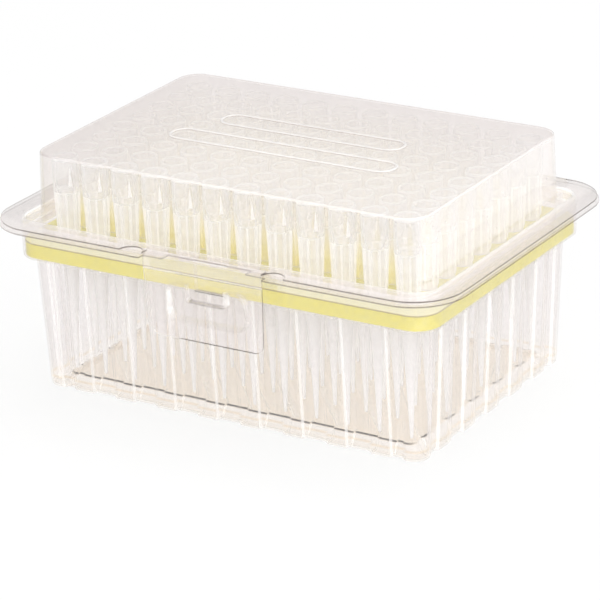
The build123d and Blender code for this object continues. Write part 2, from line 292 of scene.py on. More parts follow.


# %% [markdown]
# Clear sheet is mostly nothing: light goes through it with a faint warm-grey loss, a little is
# scattered by haze, and the rest is mirrored, more so at a glancing angle. A stored value on the mesh,
# `fold`, marks where the sheet turns, because a tight fold sends the light sideways and reads as a
# fine line: it is painted, as a dark line of painted shade where the value is positive and as a painted
# highlight where it is negative. Three lamps don't give what a real room does to each side of a clear
# box, so painted shade and painted light also follow the place on the box: painted shade at its left
# end and at the far edges of the lid, and painted warm light on the lid's top and near the ground.

# %% Clear sheet: what it lets through, with painted shade and painted light
SHEET_PASSES = (0.976, 0.966, 0.966, 1)
# Below, all but the glancing tint are painted shade and painted light by place, or the painted fold line.
WALL_LEFT_PAINTED_SHADE = (0.957, 0.949, 0.951, 1)
DOME_LEFT_PAINTED_SHADE = (0.94, 0.927, 0.92, 1)
LID_TOP_PAINTED_LIGHT = (0.988, 0.970, 0.958, 1)
LID_FAR_PAINTED_SHADE = (0.925, 0.892, 0.892, 1)
GLANCING_PASSES = (0.90, 0.88, 0.87, 1)
LOW_PAINTED_WARM_LIGHT = (0.982, 0.967, 0.952, 1)
RAISED_FLOOR_PAINTED_WARM_LIGHT = (0.965, 0.92, 0.855, 1)
FOLD_PAINTED_SHADE = (0.04, 0.03, 0.025, 1)
WALL_TOP_Z, DOME_FOOT_Z = 38.0 * MM, 47.0 * MM
WALL_LEFT_FADE = (-52 * MM, -56 * MM)
DOME_END_FADE = (54.0 * MM, 55.5 * MM)
LID_TOP_FADE = ((LID_TOP_Z - SHEET / 2 - 0.2) * MM, (LID_TOP_Z - SHEET / 2) * MM)
LID_BACK_FADE, LID_LEFT_FADE = (-8 * MM, 34 * MM), (-15 * MM, -54 * MM)
LOW_FADE = (8 * MM, 2 * MM)
RAISED_FLOOR_REACH = 0.3 * MM
TINT_POWER = 3.0


def sheet_shares(tree, place):
    """Where on the box a point lies: its height, on the lid's top, far on it, and at the dome's two ends."""
    height = place["Z"]
    on_top = fade(tree, height, *LID_TOP_FADE)
    far = largest(tree, fade(tree, place["Y"], *LID_BACK_FADE), fade(tree, place["X"], *LID_LEFT_FADE))
    on_dome = calc(tree, "GREATER_THAN", height, DOME_FOOT_Z)
    start, end = DOME_END_FADE
    right_end, left_end = (fade(tree, place["X"], way * start, way * end, high=on_dome) for way in (1, -1))
    return height, on_top, far, right_end, left_end


def sheet_tint_and_painted_shade(tree, place, shares, normal, dark_fold):
    """What the sheet lets through of each colour, under painted shade, painted warm light and painted dark
    fold lines laid over it by place.
    """
    height, on_top, far, _, left_end = shares
    on_wall = calc(tree, "LESS_THAN", height, WALL_TOP_Z)
    return layered(
        tree, SHEET_PASSES,
        (fade(tree, place["X"], *WALL_LEFT_FADE, high=on_wall), WALL_LEFT_PAINTED_SHADE),
        (left_end, DOME_LEFT_PAINTED_SHADE),
        (on_top, mix_colours(tree, far, LID_TOP_PAINTED_LIGHT, LID_FAR_PAINTED_SHADE)),
        (glancing_share(tree, normal, TINT_POWER), GLANCING_PASSES),
        (fade(tree, height, *LOW_FADE), LOW_PAINTED_WARM_LIGHT),
        (calc(tree, "COMPARE", height, RAISED_FLOOR_Z * MM, RAISED_FLOOR_REACH), RAISED_FLOOR_PAINTED_WARM_LIGHT),
        (dark_fold, FOLD_PAINTED_SHADE))


# %% [markdown]
# Haze is light that the sheet scatters instead of letting it through. It is thin and patchy all over.
# On the lid's top, on the dome's right end and along the near rims, which face the lamps, painted sheen
# is added to it, and the latch stays nearly clear. Bright fold lines add a painted highlight to it too.

# %% Clear sheet: its haze, with painted sheen and painted fold highlights
# Shares of painted sheen where the box faces the lamps, with less of it at the latch:
LID_TOP_SHEEN, LID_FAR_SHEEN = 0.22, 0.12
END_SHEEN = 0.2
RIM_SHEEN, LATCH_SHEEN = 0.15, 0.04
RIM_Z, RIM_REACH = 43.4 * MM, 3.0 * MM
FRONT_RIM_Y = -40.9 * MM
RIGHT_RIM_X, RIGHT_RIM_REACH = 57.7 * MM, 3.4 * MM
LATCH_CLEAR_HALF = 18.5 * MM
PATCH_FADE, PATCH_HAZE = (0.35, 0.75), (0.03, 0.09)
# Painted highlights on the bright fold lines:
FOLD_HIGHLIGHT = 0.6
WHITE_FOLD = -0.3  # from this bright on, a fold line is pure white


def sheet_haze_and_sheen(tree, place, shares, patches, bright_fold):
    """How much of the light the sheet scatters: its real patchy haze, plus painted sheen and painted fold
    highlights.
    """
    height, on_top, far, right_end, _ = shares
    top_sheen = product(tree, on_top, fade(tree, far, 0.0, 1.0, LID_TOP_SHEEN, LID_FAR_SHEEN))
    end_sheen = product(tree, right_end, END_SHEEN)
    near_side = largest(
        tree, calc(tree, "LESS_THAN", place["Y"], FRONT_RIM_Y),
        calc(tree, "COMPARE", place["X"], RIGHT_RIM_X, RIGHT_RIM_REACH))
    at_latch = calc(tree, "COMPARE", place["X"], 0.0, LATCH_CLEAR_HALF)
    rim_sheen = product(
        tree, calc(tree, "COMPARE", height, RIM_Z, RIM_REACH), near_side,
        fade(tree, at_latch, 0.0, 1.0, RIM_SHEEN, LATCH_SHEEN))
    patchy = fade(tree, patches, *PATCH_FADE, *PATCH_HAZE)
    haze_with_sheen = calc(tree, "ADD", patchy, largest(tree, top_sheen, end_sheen, rim_sheen))
    return calc(tree, "ADD", haze_with_sheen, product(tree, bright_fold, FOLD_HIGHLIGHT))


# %% Material: clear sheet
HAZE_COLOUR = (0.97, 0.93, 0.91, 1)
LIGHT_PASSES = (0.985, 0.982, 0.98, 1)  # for the rays that only carry light
SHEET_WAVES, SHEET_HAZE = 55.0, 700.0
SHEET_RELIEF = (0.25, 0.6 * MM)  # strength and depth
SHEET_ROUGHNESS, HAZE_ROUGHNESS = 0.05, 0.35


def clear_sheet():
    """Tinted see-through sheet with haze in it, under a mirror-like surface, with painted shade, painted
    light and painted fold lines.
    """
    material, tree = new_material("clear_sheet")
    uneven = unevenness(tree, SHEET_WAVES, SHEET_HAZE)
    wave = relief(tree, *SHEET_RELIEF, uneven["Height"])
    fold = stored(tree, "fold")
    dark, bright, whiter = (fade(tree, fold, 0.0, end) for end in (1.0, -1.0, WHITE_FOLD))
    place = object_place(tree)
    shares = sheet_shares(tree, place)
    through = see_through(tree, sheet_tint_and_painted_shade(tree, place, shares, wave, dark))
    cloud_and_sheen = add(tree, "ShaderNodeBsdfPrincipled", {
        "Base Color": mix_colours(tree, whiter, HAZE_COLOUR, WHITE),
        "Roughness": HAZE_ROUGHNESS, "Normal": wave})
    # Real patchy haze, plus painted sheen and painted fold highlights:
    haze_and_sheen = sheet_haze_and_sheen(tree, place, shares, uneven["Haze"], bright)
    body = mix_shaders(tree, haze_and_sheen, through, cloud_and_sheen.outputs[0])
    shown = with_mirror(tree, wave, SHEET_ROUGHNESS, body)
    return finished(material, looked_at(tree, see_through(tree, LIGHT_PASSES), shown))


CLEAR_SHEET = clear_sheet()

# %% [markdown]
# Seen edge-on, the same sheet is long to look through and bends the light away, so a cut edge reads as
# a fine dark line down the middle of a paler one; that line is painted shade. The edge faces get their
# own material. The two flanges lie flat, so their heights say where the middle is. The tab hangs
# upright, so there the line follows its sides and foot, and a painted highlight runs up its left side.

# %% Material: cut edge of a flange
# The painted dark line at the middle of each flange's cut edge:
FLANGE_LINES = ((tray_flange_z * MM, 0.6), (LID_FLANGE_Z * MM, 0.9))  # height of a line, and how dark it is
FLANGE_LINE_HALF = 0.12 * MM
FLANGE_LEFT_FADE, FLANGE_LEFT_SHARE = (-64 * MM, -48 * MM), 0.3
LINE_FADE, LINE_SHARES, PLAIN_SHARE = (0.3, 0.7), (0.75, 0.95), 0.12
EDGE_ROUGHNESS = 0.25
EDGE_PASSES = (0.93, 0.91, 0.90, 1)
EDGE_PAINTED_SHADE = (0.05, 0.037, 0.032, 1)
EDGE_WAVES, EDGE_HAZE = 120.0, 1500.0


def edge_surface(tree, share, paint):
    """Paint on a see-through edge, as much as the share says."""
    edge = add(tree, "ShaderNodeBsdfPrincipled", {
        "Base Color": paint, "Roughness": EDGE_ROUGHNESS}).outputs[0]
    return mix_shaders(tree, share, see_through(tree, EDGE_PASSES), edge)


def flange_edge():
    """A painted dark line at the middle of each flange's edge, broken a little and fainter at the left end.
    """
    material, tree = new_material("flange_cut_edge")
    place = object_place(tree)
    lines = [product(tree, calc(tree, "COMPARE", place["Z"], middle, FLANGE_LINE_HALF), strength)
             for middle, strength in FLANGE_LINES]
    left = fade(tree, place["X"], *FLANGE_LEFT_FADE, FLANGE_LEFT_SHARE)
    line = product(tree, largest(tree, *lines), left)
    level = fade(tree, unevenness(tree, EDGE_WAVES, EDGE_HAZE)["Height"], *LINE_FADE, *LINE_SHARES)
    share = fade(tree, line, 0.0, 1.0, PLAIN_SHARE, level)
    return finished(material, edge_surface(tree, share, EDGE_PAINTED_SHADE))


DARK_EDGE = flange_edge()

# %% Material: cut edge of the tab
# Painted shade along the tab's foot and right side, and a painted highlight up its left side:
TAB_LOW_FADE = (26.2 * MM, 25.4 * MM)
TAB_RIGHT_FADE, TAB_DARK_FADE = (-10 * MM, -4 * MM), (-10 * MM, -7 * MM)
TAB_RIGHT_SHARES, TAB_SIDE, TAB_FAINT = (0.6, 0.8), 0.4, 0.1
TAB_LEFT_PAINTED_HIGHLIGHT = (0.97, 0.96, 0.95, 1)


def tab_edge():
    """Painted shade: dark along the bottom and grey up the right side; and a painted highlight, white up the
    left.
    """
    material, tree = new_material("tab_cut_edge")
    place = object_place(tree)
    right = fade(tree, place["X"], *TAB_RIGHT_FADE, *TAB_RIGHT_SHARES)
    side = product(tree, right, TAB_SIDE)
    bottom = product(tree, right, fade(tree, place["Z"], *TAB_LOW_FADE))
    faint = product(tree, unevenness(tree, EDGE_WAVES, EDGE_HAZE)["Haze"], TAB_FAINT)
    share = calc(tree, "ADD", largest(tree, side, bottom), faint, clamp=True)
    paint = mix_colours(tree, fade(tree, place["X"], *TAB_DARK_FADE), TAB_LEFT_PAINTED_HIGHLIGHT, EDGE_PAINTED_SHADE)
    return finished(material, edge_surface(tree, share, paint))


GREY_EDGE = tab_edge()

# %% [markdown]
# The tips are natural polypropylene, milky rather than clear. A thin wall of it scatters some light,
# lets some through in all directions, and shows what is behind it only faintly. How much each part of
# a tip scatters is a stored value, `milk`, and it rises towards the outline of a round tip, where the
# wall is longer to look through. Painted shade and painted light stand in for the room: the tips are
# painted greyer in the shade under the deck and inside the lid, and painted yellow with the deck's
# light just above it, except in the front row and the right column, which get a painted cool light
# from the white room. A second stored value, `fin`, is 1 on the fins, which stay out of the painted
# shade inside the lid. Most collars of the front row have a narrow painted glint, where a soft box
# would put a highlight.

# %% A painted glint on the front collars
GLINT_X, GLINT_HALF = (PITCH / 2 + 2.7) * MM, 0.32 * MM  # its middle, from halfway between two tips
GLINT_Y = -((ROWS - 1) / 2 * PITCH + 1.5) * MM
GLINT_LAST_X = (COLUMNS / 2 - 2) * PITCH * MM
GLINT_LOW, GLINT_TOP = (TIP_POINT_Z + 50.5) * MM, 59.6 * MM


def collar_glint(tree, place):
    """1 on a narrow drop of painted glint, pointed at its top, on each front collar but the last two."""
    across = calc(tree, "SUBTRACT", calc(tree, "FLOORED_MODULO", place["X"], PITCH * MM), GLINT_X)
    half = fade(tree, place["Z"], GLINT_TOP, GLINT_LOW, 0.0, GLINT_HALF)
    return product(
        tree, calc(tree, "COMPARE", across, 0.0, half),
        calc(tree, "GREATER_THAN", place["Z"], GLINT_LOW), calc(tree, "LESS_THAN", place["Z"], GLINT_TOP),
        calc(tree, "LESS_THAN", place["Y"], GLINT_Y), calc(tree, "LESS_THAN", place["X"], GLINT_LAST_X))


# %% Material: milky tip plastic
TIP_SKIN = (0.995, 0.985, 0.985, 1)
# Below: painted shade and painted light that stand in for the room, over the plastic's own colour above.
TIP_MIDDLE_PAINTED_SHADE = (0.90, 0.893, 0.90, 1)
TIP_ABOVE_PAINTED_SHADE = (0.908, 0.903, 0.90, 1)
TIP_AHEAD_PAINTED_LIGHT, FIN_AHEAD_PAINTED_LIGHT = (0.93, 0.94, 0.96, 1), (0.99, 1.0, 1.0, 1)
TIP_DECK_PAINTED_LIGHT = (0.94, 0.88, 0.36, 1)
TIP_PASSES = (0.996, 0.995, 0.993, 1)
# Painted yellow light from the deck, in what passes through a tip just above it:
TIP_PASSES_DECK_PAINTED_LIGHT = (0.995, 0.988, 0.972, 1)
TIP_STOPS = 0.14  # of the rays that only carry light
TIP_GLOWS = 0.5  # of the light that the milk scatters, the share that comes through
FRONT_ROW_Y, RIGHT_COLUMN_X = (1 - ROWS / 2) * PITCH * MM, (COLUMNS / 2 - 1) * PITCH * MM
MIDDLE_FADE = (12 * MM, 34 * MM)
# How high the deck's painted yellow light reaches on the milk, and on what passes through it:
DECK_TINT_TOP, DECK_GLOW_TOP = 51 * MM, 58 * MM  # how high the deck tints the milk, and what passes it
TIP_WAVES, TIP_HAZE = 180.0, 1200.0
TIP_RELIEF = (0.2, 0.2 * MM)
TIP_CLOUD_FADE, TIP_CLOUD = (0.3, 0.8), (0.0, 0.06)
OUTLINE_MILK, OUTLINE_POWER = (0.75, 1.0), 2.2
TIP_ROUGHNESS, TIP_GLOSS = 0.3, 0.14  # of the milk, and of the mirroring surface over it


def tip_colour(tree, place, above, glint):
    """The plastic's colour, with painted shade by height below the deck, painted shade and painted light by
    row and column above it, and the painted glint.
    """
    fin = stored(tree, "fin")
    behind = product(
        tree, calc(tree, "GREATER_THAN", place["Y"], FRONT_ROW_Y),
        calc(tree, "LESS_THAN", place["X"], RIGHT_COLUMN_X))
    # Painted shade inside the lid, on all but the fins:
    grey = product(tree, above, calc(tree, "SUBTRACT", 1.0, fin))
    near_deck = fade(tree, place["Z"], DECK_TINT_TOP, deck_high.z, high=above)
    return layered(
        tree, TIP_SKIN,
        (fade(tree, place["Z"], *MIDDLE_FADE), TIP_MIDDLE_PAINTED_SHADE),
        (above, mix_colours(tree, grey, TIP_SKIN, TIP_ABOVE_PAINTED_SHADE)),
        (calc(tree, "SUBTRACT", above, behind, clamp=True),
         mix_colours(tree, fin, TIP_AHEAD_PAINTED_LIGHT, FIN_AHEAD_PAINTED_LIGHT)),
        (product(tree, near_deck, behind), TIP_DECK_PAINTED_LIGHT),
        (glint, WHITE))


def milky_plastic():
    """See-through plastic with milk in it, under a softly mirroring surface."""
    material, tree = new_material("milky_tip_plastic")
    uneven = unevenness(tree, TIP_WAVES, TIP_HAZE)
    bumped = relief(tree, *TIP_RELIEF, uneven["Height"])
    milk = stored(tree, "milk")
    outline = fade(tree, milk, 0.0, 1.0, *OUTLINE_MILK)
    solid = fade(tree, glancing_share(tree, bumped, OUTLINE_POWER), 0.0, 1.0, milk, outline)
    cloud = fade(tree, uneven["Haze"], *TIP_CLOUD_FADE, *TIP_CLOUD)
    share = calc(tree, "ADD", solid, cloud, clamp=True)
    place = object_place(tree)
    above = calc(tree, "GREATER_THAN", place["Z"], deck_high.z)
    # Painted yellow light from the deck, in what passes through just above it:
    glowing = product(tree, above, fade(tree, place["Z"], DECK_GLOW_TOP, deck_high.z))
    through = see_through(tree, mix_colours(tree, glowing, TIP_PASSES, TIP_PASSES_DECK_PAINTED_LIGHT))
    glint = collar_glint(tree, place)
    plastic = tip_colour(tree, place, above, glint)
    skin = add(tree, "ShaderNodeBsdfPrincipled", {
        "Base Color": plastic, "Roughness": TIP_ROUGHNESS, "Normal": bumped}).outputs[0]
    glow = add(tree, "ShaderNodeBsdfTranslucent", {"Color": plastic}).outputs[0]
    milky = mix_shaders(tree, TIP_GLOWS, skin, glow)
    body = mix_shaders(tree, largest(tree, share, glint), through, milky)
    lit = mix_shaders(tree, TIP_STOPS, through, glow)
    return finished(material, looked_at(tree, lit, with_mirror(tree, bumped, TIP_GLOSS, body)))


MILKY_PLASTIC = milky_plastic()

# %% [markdown]
# The deck is pale yellow polypropylene. Light soaks into it, so it has a little translucence. Its top
# is painted paler than its skirt, as painted light on a top that the tips shade, and a thin brown line
# of painted shade runs just under the skirt's top edge, where the skirt turns under the clear wall.
# The light that it throws on the tips is paler than the deck, or they would all look green.

# %% Material: yellow deck
DECK_SHADES = ((0.3, (0.96, 0.86, 0.145, 1)), (0.7, (0.965, 0.885, 0.20, 1)))
DECK_TOP_PAINTED_LIGHT = (1.0, 0.95, 0.38, 1)
DECK_EDGE_PAINTED_SHADE = (0.33, 0.22, 0.08, 1)
DECK_GLOW = (0.99, 0.90, 0.28, 1)
DECK_BOUNCE = (0.95, 0.92, 0.79, 1)
DECK_GLOWS = 0.3
DECK_WAVES, DECK_HAZE = 90.0, 1500.0
DECK_RELIEF, DECK_ROUGHNESS = (0.15, 0.2 * MM), 0.4
SKIRT_WIDTH = 4 * MM
TOP_REACH, LINE_STARTS, LINE_ENDS = 0.02, (0.05, 0.15), (0.5, 0.25)  # millimetres below the top


def deck_depth(depth):
    """The height of a place this many millimetres below the deck's top."""
    return deck_high.z - depth * MM


def yellow_plastic():
    """Mottled yellow, with painted light that makes the top paler, and a brown line of painted shade under
    the skirt's top edge.
    """
    material, tree = new_material("yellow_deck_plastic")
    uneven = unevenness(tree, DECK_WAVES, DECK_HAZE)
    place = object_place(tree)
    height = place["Z"]
    skirt = largest(tree, *[
        calc(tree, "GREATER_THAN", calc(tree, "ABSOLUTE", place[axis]), edge - SKIRT_WIDTH)
        for axis, edge in (("X", deck_high.x), ("Y", deck_high.y))])
    # A brown line of painted shade just under the skirt's top edge:
    line = product(
        tree, fade(tree, height, *[deck_depth(depth) for depth in LINE_ENDS]),
        fade(tree, height, *[deck_depth(depth) for depth in LINE_STARTS]), skirt)
    ramp = add(tree, "ShaderNodeValToRGB", {"Fac": uneven["Height"]})
    for stop, (position, colour) in zip(ramp.color_ramp.elements, DECK_SHADES):
        stop.position = position
        stop.color = colour
    # Painted light on the top, and the line of painted shade:
    paint = layered(
        tree, ramp.outputs["Color"],
        (calc(tree, "GREATER_THAN", height, deck_depth(TOP_REACH)), DECK_TOP_PAINTED_LIGHT), (line, DECK_EDGE_PAINTED_SHADE))
    skin = add(tree, "ShaderNodeBsdfPrincipled", {
        "Base Color": paint, "Roughness": DECK_ROUGHNESS,
        "Normal": relief(tree, *DECK_RELIEF, uneven["Haze"])})
    glow = add(tree, "ShaderNodeBsdfTranslucent", {"Color": DECK_GLOW}).outputs[0]
    lit = add(tree, "ShaderNodeBsdfDiffuse", {"Color": DECK_BOUNCE}).outputs[0]
    return finished(material, looked_at(tree, lit, mix_shaders(tree, DECK_GLOWS, skin.outputs[0], glow)))


YELLOW_PLASTIC = yellow_plastic()
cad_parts["deck_plate"].data.materials.clear()
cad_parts["deck_plate"].data.materials.append(YELLOW_PLASTIC)

# %% [markdown]
# ## Making a mesh and keeping it
# Each piece built below from a sheet or a tree ends the same way: its modifiers are turned into plain
# mesh, and its folds stay smooth while its cut edges stay crisp. Most are then tied to the body that
# they move with.

# %% Finishing helpers
SHARP_ANGLE = math.radians(50)


def new_mesh(name, points, faces):
    """A mesh from points in millimetres."""
    mesh = bpy.data.meshes.new(name)
    mesh.from_pydata([tuple(v * MM for v in point) for point in points], [], faces)
    return mesh


def store(mesh, name, values):
    """Keeps a value at each point of a mesh, for its material to read."""
    mesh.attributes.new(name, "FLOAT", "POINT").data.foreach_set("value", np.array(values, np.float32))


def new_object(name, mesh):
    """An object in the scene, at the origin."""
    piece = bpy.data.objects.new(name, mesh)
    scene.collection.objects.link(piece)
    return piece


def folded_sheet(name, points, faces, marks, materials):
    """A sheet without a wall yet, with its painted fold lines and materials."""
    mesh = new_mesh(name, points, faces)
    store(mesh, "fold", marks)
    for material in materials:
        mesh.materials.append(material)
    return new_object(name, mesh)


def settle(piece):
    """Turns the piece's modifiers into plain mesh, and shades it smooth except at sharp edges."""
    graph = bpy.context.evaluated_depsgraph_get()
    mesh = bpy.data.meshes.new_from_object(piece.evaluated_get(graph), depsgraph=graph)
    piece.modifiers.clear()
    piece.data = mesh
    mesh.shade_smooth()
    mesh.set_sharp_from_angle(angle=SHARP_ANGLE)
    print(piece.name, len(mesh.polygons), "faces")
    return piece


def thicken(piece, thickness, edge_slot=1):
    """Gives a sheet its wall, centred on the surface, with the cut edge in its own material."""
    solid = piece.modifiers.new("wall", "SOLIDIFY")
    solid.thickness = thickness * MM
    solid.offset = 0
    solid.material_offset_rim = edge_slot
    return settle(piece)


# %% [markdown]
# ## Clear shells from stacked outlines
# A formed tray is a stack of rounded outlines joined by walls. Modelling it as rings keeps the folds
# under control: each fold is a few rings on a curve, and each ring has the same number of points, so
# the walls between them are clean strips. The ribs of the lower wall only push some points of a ring
# in or out. A profile goes through stations, and each station says the ring's half sizes, its corner
# radius, its height and how deep its flutes are.

# %% Ribs along a side
FLUTE_PITCH = 12.5
FLUTE_WIDTH = 5.0
FLUTE_FLANK = 0.7
HOOK_INSET, HOOK_REACH, HOOK_FADE = 0.6, 1.5, 0.5
FLANK_STEPS = (-1.6, -1.1, -0.15, 0.12, 0.35, 0.65, 0.88, 1.15, 2.1, 2.6)  # in flank widths
SIDE_END = 1.0
CORNER_KEEP = 5.0


def rib_centres(count):
    """Where the ribs of a side are, spread evenly about its middle."""
    return [(index - (count - 1) / 2) * FLUTE_PITCH for index in range(count)]


def eased(share):
    """A share from 0 to 1, held there, with soft ends."""
    share = min(max(share, 0.0), 1.0)
    return share * share * (3 - 2 * share)


def flute_share(along, post, count):
    """How deep the wall lies behind the rib faces at a place along a side, from 0 to 1."""
    to_ribs = min(abs(along - centre) for centre in rib_centres(count)) - FLUTE_WIDTH / 2
    return eased(min(to_ribs, post - abs(along)) / FLUTE_FLANK)


def flank_near(along, to_front, count):
    """1 within a millimetre or so of the flank of a rib that faces the front, and 0 further off."""
    flanks = [centre + to_front * (FLUTE_WIDTH / 2 - HOOK_INSET) for centre in rib_centres(count)]
    away = min((abs(along - flank) for flank in flanks), default=FLUTE_PITCH)
    return min(max((HOOK_REACH - away) / HOOK_FADE, 0.0), 1.0)


def side_places(post, count, extra=()):
    """Places along a side that draw every flute edge with a soft turn, plus any others asked for."""
    edges = [(-post, 1), (post, -1)]
    for centre in rib_centres(count):
        edges += [(centre - FLUTE_WIDTH / 2, -1), (centre + FLUTE_WIDTH / 2, 1)]
    places = {round(edge + way * step * FLUTE_FLANK, 4) for edge, way in edges for step in FLANK_STEPS}
    return sorted(place for place in places | set(extra) if abs(place) < post + SIDE_END)


def drawn_in(along, straight, post):
    """Draws the places near a corner in, where the side's straight part ends before them."""
    keep, outer = post - CORNER_KEEP, post + SIDE_END
    if abs(along) <= keep or straight >= outer:
        return along
    return math.copysign(keep + (abs(along) - keep) * (straight - keep) / (outer - keep), along)


print("ribs of a side of eight", rib_centres(8))

# %% One ring
CORNER_POINTS = 10


def ring(plan, station, front_edge=None):
    """One outline from a station: its points, how far each is on a flank, and how dark its painted fold line
    may be.
    """
    half_x, half_y, radius, height, depth = station
    points, marks, dark_here = [], [], []
    for side, (places, post, count) in enumerate(plan):
        long_here = 1 - side % 2
        across, length = (half_y, half_x) if side % 2 == 0 else (half_x, half_y)
        for along in places:
            share = flute_share(along, post, count) if depth > 0 else 0.0
            out = depth * share - across
            if front_edge and side == 0:
                out = front_edge(along, out, height)
            place = drawn_in(along, length - radius, post)
            points.append(((place, out), (-out, place), (-place, -out), (out, -place))[side])
            on_flank = 4 * share * (1 - share)
            marks.append(on_flank)
            dark_here.append(1 - on_flank if long_here else flank_near(along, side - 2, count))
        for step in range(1, CORNER_POINTS):
            turn = math.radians(90 * step / CORNER_POINTS - 90)
            x = length - radius + radius * math.cos(turn)
            y = radius - across + radius * math.sin(turn)
            points.append(((x, y), (-y, x), (-x, -y), (y, -x))[side])
            marks.append(0.0)
            dark_here.append(abs(long_here - step / CORNER_POINTS))
    return [(x, y, height) for x, y in points], marks, dark_here


# %% A stack of rings
BEND_STEPS = (0.0, 0.25, 0.5, 0.75, 1.0)
BEND_SUPPORT, HALFWAY = 1.5, 0.5  # a row 1.5 bends away keeps the flat beside a bend flat
# A painted highlight down the flanks of the ribs:
FLUTE_HIGHLIGHT = -0.6


def support(here, other, reach):
    """A row on the flat beside a bend, where the next station is far enough away for one."""
    if reach * BEND_SUPPORT >= HALFWAY:
        return []
    return [(here + (other - here) * reach * BEND_SUPPORT, 0.0)]


def bent_profile(stations):
    """Replaces each station that has a bend by a few on a curve. Returns stations with their painted fold
    lines.
    """
    rows = []
    for index, (station, bend, mark) in enumerate(stations):
        here = np.array(station)
        if not bend:
            rows.append((here, 0.0))
            continue
        before, after = (np.array(stations[index + way][0]) for way in (-1, 1))
        reach = [bend / math.hypot(other[0] - here[0], other[3] - here[3]) for other in (before, after)]
        start = here + (before - here) * reach[0]
        end = here + (after - here) * reach[1]
        rows += support(here, before, reach[0])
        for t in BEND_STEPS:
            curve = start * (1 - t) ** 2 + here * 2 * t * (1 - t) + end * t * t
            from_ends = 1 - abs(2 * t - 1)
            rows.append((curve, mark * (min(2 * from_ends, 1) if mark > 0 else from_ends)))
        rows += support(here, after, reach[1])
    return rows


def shell(plan, stations, front_edge=None):
    """The mid surface of a formed shell: points, faces, painted fold lines and how many points a ring has."""
    points, marks, faces = [], [], []
    for station, mark in bent_profile(stations):
        outline, on_flank, dark_here = ring(plan, tuple(station), front_edge)
        points += outline
        for flank, dark in zip(on_flank, dark_here):
            if mark > 0:
                marks.append(mark * dark)
            else:
                marks.append(mark + FLUTE_HIGHLIGHT * flank ** 2 * (1 + mark))
    count = len(outline)
    for row in range(len(points) // count - 1):
        for index in range(count):
            following = (index + 1) % count
            near, far = row * count, (row + 1) * count
            faces.append((near + index, near + following, far + following, far + index))
    faces.append(tuple(range(count))[::-1])
    return points, faces, marks, count


# %% [markdown]
# The latch's sizes come before the tray, because the tray's wall and flange make room for it. The tab
# hangs from the lid's lip and leans in a little. It has a pocket pressed into it, with a gap at the
# pocket's top for the catch on the tray's wall, and a bar below the gap that holds behind the catch.

# %% The latch's sizes
LATCH_HALF, TAB_TAPER, TAB_HEIGHT, TAB_RADIUS = 17.2, 0.95, 18.0, 2.6
TAB_LEAN = math.radians(4)
LIP_MID_Y, CREASE_Z, CREASE_GAP = -46.25, 42.45, 0.3
POCKET_HALF, POCKET_TOP, POCKET_BOTTOM, POCKET_DEPTH, POCKET_RADIUS = 11.5, 3.2, 13.6, 2.6, 3.2
BAR_GAP_HALF, BAR_TOP, CATCH_HALF, CATCH_LOW = 5.4, 7.6, 4.7, 36.7
NOTCH_GAP, CATCH_GAP = 0.5, 0.25


def pocket_face_y(below_fold):
    """Y of the innermost face of the tab's pocket, at a distance below the fold."""
    pressed = (SHEET / 2 + POCKET_DEPTH) * math.cos(TAB_LEAN)
    return LIP_MID_Y + pressed + below_fold * math.sin(TAB_LEAN)


print("pocket's face", round(pocket_face_y(POCKET_TOP), 2), "to", round(pocket_face_y(POCKET_BOTTOM), 2))

# %% [markdown]
# ## The tray
# From the middle outwards: a raised floor, its riser, the channel that the box stands on, the ribbed
# wall, the step that carries the deck, a plain wall and the flange. The catch for the latch is pushed
# out of the front wall, and the flange is cut back there so that the latch can pass.

# %% The tray's front
LIP_NOTCH_Y = LIP_MID_Y + SHEET / 2 + NOTCH_GAP
POCKET_NOTCH_Y = pocket_face_y(POCKET_TOP) + NOTCH_GAP
CATCH_Y = pocket_face_y(BAR_TOP) + CATCH_GAP
NARROW = 0.05
CATCH_RISE = 2 * NARROW


def pair(*places):
    """Two points close together on each side of every place, and the same mirrored."""
    both = [place + way * NARROW for place in places for way in (-1, 1)]
    return [sign * place for place in both for sign in (-1, 1)]


def tray_front(along, out, height):
    """Cuts the front flange back for the latch, and pushes the catch out of the wall."""
    place = abs(along)
    limit = -tray_flange[1]
    if place < LATCH_HALF + NOTCH_GAP:
        limit = LIP_NOTCH_Y
    if place < POCKET_HALF + NOTCH_GAP:
        limit = POCKET_NOTCH_Y
    if place < CATCH_HALF:
        limit = CATCH_Y
    raised = min(max((height - CATCH_LOW) / CATCH_RISE, 0.0), 1.0)
    if place < CATCH_HALF and out > CATCH_Y + SHEET / 2:
        out += (CATCH_Y + SHEET / 2 - out) * raised
    return max(out, limit)


notch_places = pair(LATCH_HALF + NOTCH_GAP, POCKET_HALF + NOTCH_GAP, CATCH_HALF)
print("front edge cut at", notch_places)

# %% Tray
RIBS_LONG, RIBS_SHORT = 8, 5
POST_LONG, POST_SHORT = 50.8, 32.8
FLUTE_DEPTH, FLOOR_FLUTE = 1.1, 0.55
FOOT_Z, CATCH_LINE = SHEET / 2, 0.4
UPPER_WALL = (60.2, 41.3, 6.7)  # half sizes and corner radius
long_side = side_places(POST_LONG, RIBS_LONG)
short_side = side_places(POST_SHORT, RIBS_SHORT)
front_side = side_places(POST_LONG, RIBS_LONG, notch_places)
tray_plan = [
    (front_side, POST_LONG, RIBS_LONG), (short_side, POST_SHORT, RIBS_SHORT),
    (long_side, POST_LONG, RIBS_LONG), (short_side, POST_SHORT, RIBS_SHORT)]
step_z = deck_bottom - SHEET / 2
